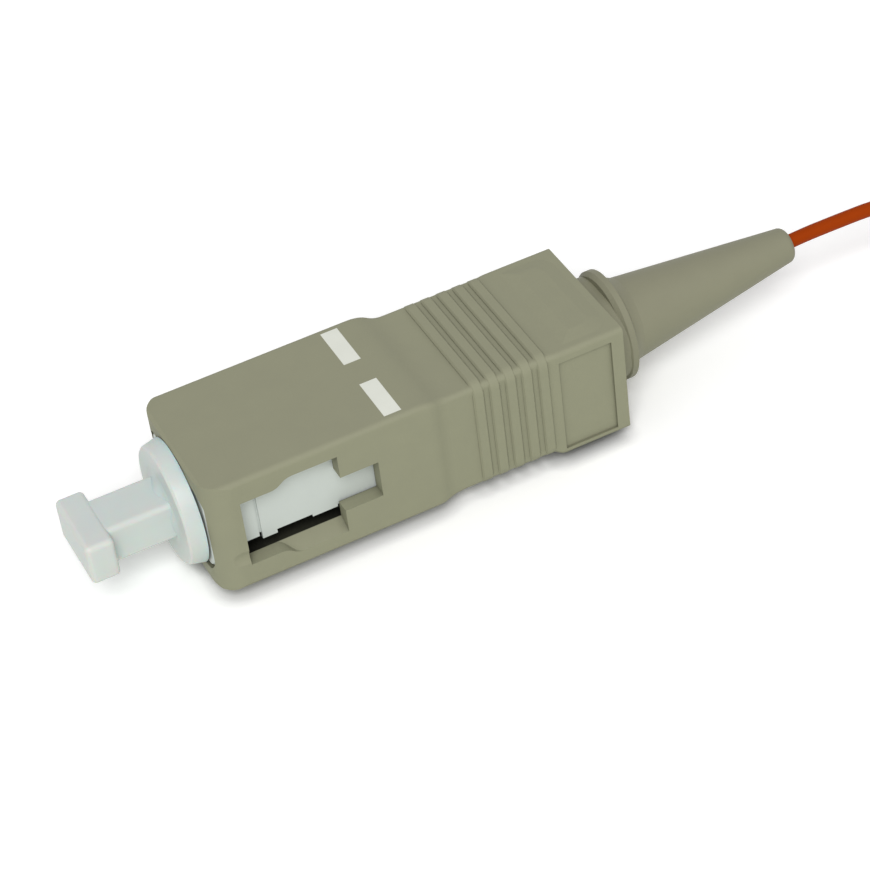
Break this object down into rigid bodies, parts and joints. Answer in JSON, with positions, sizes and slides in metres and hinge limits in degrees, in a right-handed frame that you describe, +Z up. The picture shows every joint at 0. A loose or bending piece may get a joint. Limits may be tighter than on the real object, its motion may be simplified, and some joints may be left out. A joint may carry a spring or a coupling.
{
  "type": "push-pull fibre optic connector",
  "caption": "Push-pull fibre optic connector with a sliding grip sleeve, sprung ferrule, dust cap and tapered boot on a coiled tight-buffered pigtail.",
  "frame": {"origin": "on the ferrule's axis, at the plug's front face", "axes": "+X along the ferrule from the plug's front to the boot, +Z up with the key on the underside, +Y to the left as seen from the front of the plug"},
  "size_m": [0.0864, 0.0102, 0.0083],
  "materials": {
    "beige_plastic": "fine satin moulding",
    "beige_rubber": "satin, soft",
    "white_plastic": "satin",
    "cap_plastic": "satin, slightly translucent",
    "ceramic": "polished zirconia",
    "nickel": "nickel plate",
    "spring_steel": "drawn wire",
    "clear_tube": "translucent",
    "fibre_glass": "clear",
    "orange_buffer": "satin",
    "black_tie": "satin"
  },
  "bodies": {
    "plug_frame": {"inner_housing": "white_plastic", "stop_body": "nickel", "guide_tube": "clear_tube", "ferrule_spring": "spring_steel", "buffered_fibre": "orange_buffer", "boot": "beige_rubber", "cord_lead": "orange_buffer", "cord_hank": "orange_buffer", "hank_tie": "black_tie"},
    "grip": {"outer_housing": "beige_plastic"},
    "ferrule_group": {"ferrule": "ceramic", "ferrule_flange": "nickel", "glass_fibre": "fibre_glass", "fibre_coating": "clear_tube"},
    "cap": {"dust_cap": "cap_plastic"}
  },
  "joints": [
    {"name": "grip_slide", "type": "slide", "parent": "plug_frame", "child": "grip", "axis": [1, 0, 0], "range_m": [0, 0.0008]},
    {"name": "ferrule_travel", "type": "slide", "parent": "plug_frame", "child": "ferrule_group", "axis": [1, 0, 0], "range_m": [0, 0.001], "stiffness_N_per_m": 500, "springref_m": -0.002, "deforming": ["ferrule_spring"]},
    {"name": "cap_pull", "type": "slide", "parent": "plug_frame", "child": "cap", "axis": [-1, 0, 0], "range_m": [0, 0.012]}
  ]
}
